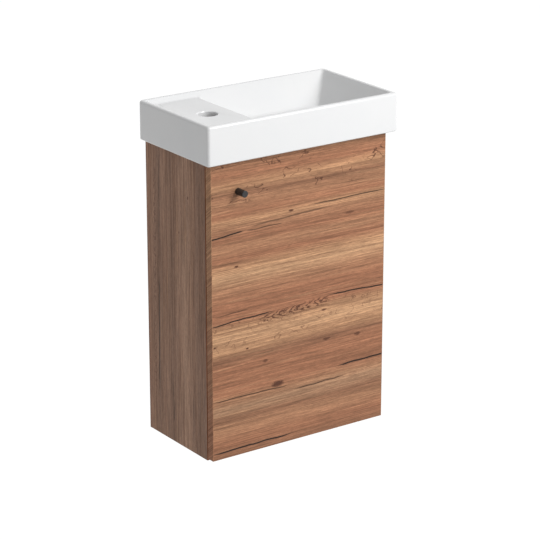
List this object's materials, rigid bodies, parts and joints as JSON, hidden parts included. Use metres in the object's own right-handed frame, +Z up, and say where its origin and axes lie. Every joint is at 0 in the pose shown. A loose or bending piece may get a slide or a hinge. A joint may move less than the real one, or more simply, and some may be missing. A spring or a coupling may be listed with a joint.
{
  "type": "vanity unit",
  "caption": "Wall-hung cloakroom vanity: shallow rectangular ceramic basin with side tap ledge over a narrow oak-pattern cabinet with one side-hinged door, small round knob and inner shelf.",
  "frame": {"origin": "on the wall plane, at the middle of the cabinet's width and at its underside", "axes": "+X to the right seen from the front, +Y back into the wall, +Z up; the door faces -Y"},
  "size_m": [0.4, 0.227, 0.615],
  "materials": {
    "white_ceramic": "glossy white glaze",
    "oak_board": "matt printed rustic oak pattern on board",
    "oak_edge": "matt oak-pattern edge strip",
    "front_edge": "matt red-brown edge strip",
    "beech": "plain turned wood",
    "black_metal": "satin black coat",
    "plated_steel": "bright nickel plate",
    "zinc_steel": "dull zinc plate",
    "grey_plastic": "moulded matt",
    "clear_rubber": "soft translucent"
  },
  "bodies": {
    "cabinet": {"basin": "white_ceramic", "basin_pads": "clear_rubber", "left_side_panel": "oak_board", "right_side_panel": "oak_board", "bottom_panel": "oak_board", "front_top_rail": "oak_board", "rear_top_rail": "oak_board", "rear_lower_rail": "oak_board", "side_edge_bands": "front_edge", "cross_edge_bands": "front_edge", "shelf": "oak_board", "shelf_edge_band": "front_edge", "shelf_pins": "zinc_steel", "board_dowels": "beech", "cam_locks": "zinc_steel", "cam_bolts": "zinc_steel", "left_hanger_housing": "grey_plastic", "right_hanger_housing": "grey_plastic", "left_hanger_hook": "zinc_steel", "right_hanger_hook": "zinc_steel", "hanger_screws": "zinc_steel", "left_wall_plate": "zinc_steel", "right_wall_plate": "zinc_steel", "upper_hinge_arm": "plated_steel", "lower_hinge_arm": "plated_steel", "upper_hinge_mounting_plate": "plated_steel", "lower_hinge_mounting_plate": "plated_steel", "hinge_arm_pins": "plated_steel", "mounting_plate_screws": "zinc_steel", "hinge_arm_screws": "zinc_steel"},
    "outer_links": {"upper_hinge_outer_link": "plated_steel", "lower_hinge_outer_link": "plated_steel"},
    "door": {"door_panel": "oak_board", "door_edge_bands": "oak_edge", "knob": "black_metal", "knob_screw": "zinc_steel", "door_bumpers": "clear_rubber", "upper_hinge_cup": "plated_steel", "lower_hinge_cup": "plated_steel", "hinge_cup_pins": "plated_steel", "hinge_cup_screws": "zinc_steel"},
    "inner_links": {"upper_hinge_inner_link": "plated_steel", "lower_hinge_inner_link": "plated_steel"}
  },
  "joints": [
    {"name": "outer_link_turn", "type": "hinge", "parent": "cabinet", "child": "outer_links", "pos_m": [0.1617, -0.168, 0.271], "axis": [0, 0, 1], "range_deg": [-21.81, 0]},
    {"name": "door_turn", "type": "hinge", "parent": "outer_links", "child": "door", "pos_m": [0.178, -0.1925, 0.271], "axis": [0, 0, 1], "range_deg": [0, 121.8]},
    {"name": "inner_link_turn", "type": "hinge", "parent": "door", "child": "inner_links", "pos_m": [0.1753, -0.1974, 0.271], "axis": [0, 0, 1], "range_deg": [-106.39, 0]}
  ],
  "couplings": [
    {"joint": "outer_link_turn", "follows": "door_turn", "ratio": -0.17898},
    {"joint": "inner_link_turn", "follows": "door_turn", "ratio": -0.8734}
  ]
}
